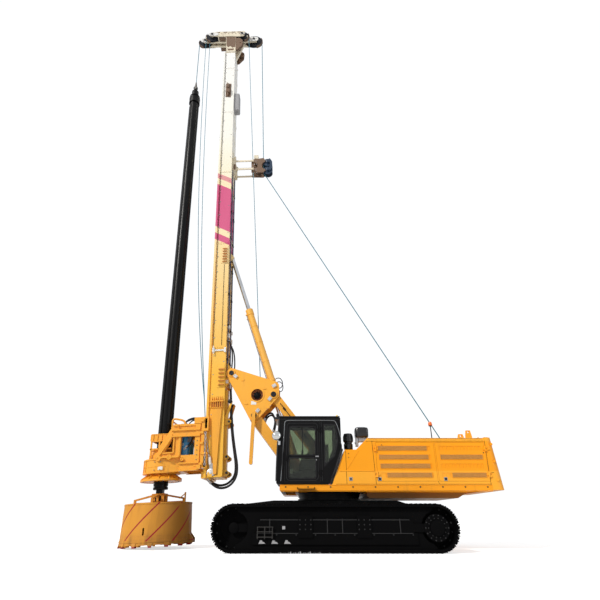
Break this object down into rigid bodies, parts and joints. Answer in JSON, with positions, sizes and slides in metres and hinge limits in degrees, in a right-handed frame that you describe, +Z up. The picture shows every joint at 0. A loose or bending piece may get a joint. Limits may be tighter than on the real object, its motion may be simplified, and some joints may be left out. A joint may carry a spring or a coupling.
{
  "type": "rotary piling rig",
  "caption": "Crawler rotary piling rig: leaning mast on a parallelogram linkage, kelly bar, rotary drive on a crowd carriage, drilling bucket, cab and engine house with doors.",
  "frame": {"origin": "middle of the footprint on the ground, below the middle of the whole machine's length and width", "axes": "+Z up along the height, +X towards the counterweight, -X towards the mast, -Y the machine's left side with the cab"},
  "size_m": [10.3585, 4.3, 22.3623],
  "materials": {
    "yellow_paint": "gloss",
    "mast_paint": "gloss",
    "black_paint": "satin",
    "track_steel": "matte",
    "kelly_steel": "satin",
    "bare_steel": "satin",
    "chrome_rod": "polished",
    "clear_glass": "polished",
    "blue_motor": "satin",
    "hose_rubber": "matte",
    "seat_cloth": "matte",
    "mirror_silver": "polished"
  },
  "bodies": {
    "undercarriage": {"car_body": "black_paint", "slew_ring_lower": "black_paint"},
    "track_left": {"track_frame_left": "track_steel", "track_loop_left": "track_steel", "track_wheels_left": "track_steel"},
    "track_right": {"track_frame_right": "track_steel", "track_loop_right": "track_steel", "track_wheels_right": "track_steel"},
    "superstructure": {"slew_ring_upper": "black_paint", "deck_frame": "yellow_paint", "hood_shell": "yellow_paint", "counterweight": "yellow_paint", "engine_block": "bare_steel", "winch": "bare_steel", "fuel_tank": "yellow_paint", "roof_fittings": "black_paint", "mirror": "mirror_silver", "cab_shell": "black_paint", "cab_glass": "clear_glass", "cab_seat": "seat_cloth"},
    "cab_door": {"cab_door": "black_paint", "cab_door_glass": "clear_glass"},
    "hood_door_front_left": {"hood_door_front_left": "yellow_paint"},
    "hood_door_front_right": {"hood_door_front_right": "yellow_paint"},
    "hood_door_rear_left": {"hood_door_rear_left": "yellow_paint"},
    "hood_door_rear_right": {"hood_door_rear_right": "yellow_paint"},
    "boom": {"boom": "yellow_paint"},
    "support_arm": {"support_arm": "yellow_paint"},
    "triangle": {"triangle": "yellow_paint", "prop_strut": "yellow_paint"},
    "boom_barrel": {"boom_cylinder_barrel": "yellow_paint"},
    "boom_rod": {"boom_cylinder_rod": "chrome_rod"},
    "mast": {"mast": "mast_paint", "cathead": "yellow_paint", "rope_wheels": "bare_steel", "rope_guide": "yellow_paint", "crowd_barrel": "yellow_paint", "hook_block": "bare_steel", "hose_loop_near": "hose_rubber", "hose_loop_far": "hose_rubber"},
    "mast_barrels": {"mast_cylinder_barrels": "yellow_paint"},
    "mast_rods": {"mast_cylinder_rods": "chrome_rod"},
    "carriage": {"carriage": "yellow_paint", "crowd_rod": "chrome_rod", "gear_case": "yellow_paint", "drive_motors": "blue_motor"},
    "drive_sleeve": {"drive_sleeve": "yellow_paint"},
    "kelly_swivel": {"kelly_swivel": "kelly_steel"},
    "kelly_outer": {"kelly_outer": "kelly_steel"},
    "kelly_inner": {"kelly_bar": "kelly_steel", "bucket_shell": "yellow_paint"},
    "bucket_floor": {"bucket_floor": "yellow_paint"}
  },
  "joints": [
    {"name": "track_slide_left", "type": "slide", "parent": "undercarriage", "child": "track_left", "axis": [0, 1, 0], "range_m": [0, 0.64]},
    {"name": "track_slide_right", "type": "slide", "parent": "undercarriage", "child": "track_right", "axis": [0, -1, 0], "range_m": [0, 0.64]},
    {"name": "slew", "type": "hinge", "parent": "undercarriage", "child": "superstructure", "pos_m": [0.693, 0, 1.262], "axis": [0, 0, 1], "continuous": true},
    {"name": "cab_door_hinge", "type": "hinge", "parent": "superstructure", "child": "cab_door", "pos_m": [0.396, -1.524, 2.3], "axis": [0, 0, 1], "range_deg": [0, 100]},
    {"name": "hood_door_front_left_hinge", "type": "hinge", "parent": "superstructure", "child": "hood_door_front_left", "pos_m": [1.89, -1.524, 2.08], "axis": [0, 0, -1], "range_deg": [0, 100]},
    {"name": "hood_door_front_right_hinge", "type": "hinge", "parent": "superstructure", "child": "hood_door_front_right", "pos_m": [1.89, 1.524, 2.08], "axis": [0, 0, 1], "range_deg": [0, 100]},
    {"name": "hood_door_rear_left_hinge", "type": "hinge", "parent": "superstructure", "child": "hood_door_rear_left", "pos_m": [4.806, -1.524, 2.08], "axis": [0, 0, 1], "range_deg": [0, 100]},
    {"name": "hood_door_rear_right_hinge", "type": "hinge", "parent": "superstructure", "child": "hood_door_rear_right", "pos_m": [4.806, 1.524, 2.08], "axis": [0, 0, -1], "range_deg": [0, 100]},
    {"name": "boom_lift", "type": "hinge", "parent": "superstructure", "child": "boom", "pos_m": [-0.207, 0, 1.85], "axis": [0, 1, 0], "range_deg": [-22, 23]},
    {"name": "support_arm_turn", "type": "hinge", "parent": "superstructure", "child": "support_arm", "pos_m": [0.366, 0, 2.488], "axis": [0, 1, 0], "range_deg": [-22.2, 23.2]},
    {"name": "triangle_turn", "type": "hinge", "parent": "boom", "child": "triangle", "pos_m": [-1.527, 0, 3.513], "axis": [0, 1, 0], "range_deg": [-23.2, 22.2]},
    {"name": "boom_barrel_turn", "type": "hinge", "parent": "superstructure", "child": "boom_barrel", "pos_m": [-0.047, 0, 1.7], "axis": [0, 1, 0], "range_deg": [-17.21, 17.98]},
    {"name": "boom_rod_slide", "type": "slide", "parent": "boom_barrel", "child": "boom_rod", "axis": [-0.3471, 0, 0.9378], "range_m": [-0.2532, 0.2645]},
    {"name": "mast_tilt", "type": "hinge", "parent": "triangle", "child": "mast", "pos_m": [-2.295, 0, 4.825], "axis": [0, 1, 0], "range_deg": [-2.33, 17.67]},
    {"name": "mast_barrels_turn", "type": "hinge", "parent": "triangle", "child": "mast_barrels", "pos_m": [-0.951, 0, 4.403], "axis": [0, 1, 0], "range_deg": [-2.2, 15.34]},
    {"name": "mast_rods_slide", "type": "slide", "parent": "mast_barrels", "child": "mast_rods", "axis": [-0.3242, 0, 0.946], "range_m": [-0.3788, 0.0534]},
    {"name": "crowd", "type": "slide", "parent": "mast", "child": "carriage", "axis": [-0.0466, 0, 0.9989], "range_m": [0, 5]},
    {"name": "kelly_lift", "type": "slide", "parent": "mast", "child": "kelly_swivel", "axis": [-0.0466, 0, 0.9989], "range_m": [-14.9, 0.3]},
    {"name": "kelly_turn", "type": "hinge", "parent": "kelly_swivel", "child": "kelly_outer", "pos_m": [-4.1912, 0, 1.9085], "axis": [-0.0466, 0, 0.9989], "continuous": true},
    {"name": "kelly_extend", "type": "slide", "parent": "kelly_outer", "child": "kelly_inner", "axis": [0.0466, 0, -0.9989], "range_m": [0, 10]},
    {"name": "bucket_floor_hinge", "type": "hinge", "parent": "kelly_inner", "child": "bucket_floor", "pos_m": [-3.10958, 0, 0.18171], "axis": [0, -1, 0], "range_deg": [0, 75]},
    {"name": "drive_turn", "type": "hinge", "parent": "carriage", "child": "drive_sleeve", "pos_m": [-4.1912, 0, 1.9085], "axis": [-0.0466, 0, 0.9989], "continuous": true}
  ],
  "couplings": [
    {"joint": "support_arm_turn", "follows": "boom_lift", "ratio": 1},
    {"joint": "triangle_turn", "follows": "boom_lift", "ratio": -1},
    {"joint": "boom_barrel_turn", "follows": "boom_lift", "ratio": 0.77301},
    {"joint": "boom_rod_slide", "follows": "boom_lift", "m_per_rad": 0.64898},
    {"joint": "mast_barrels_turn", "follows": "mast_tilt", "ratio": 0.85673},
    {"joint": "mast_rods_slide", "follows": "mast_tilt", "m_per_rad": -1.2152},
    {"joint": "drive_turn", "follows": "kelly_turn", "ratio": 1}
  ]
}
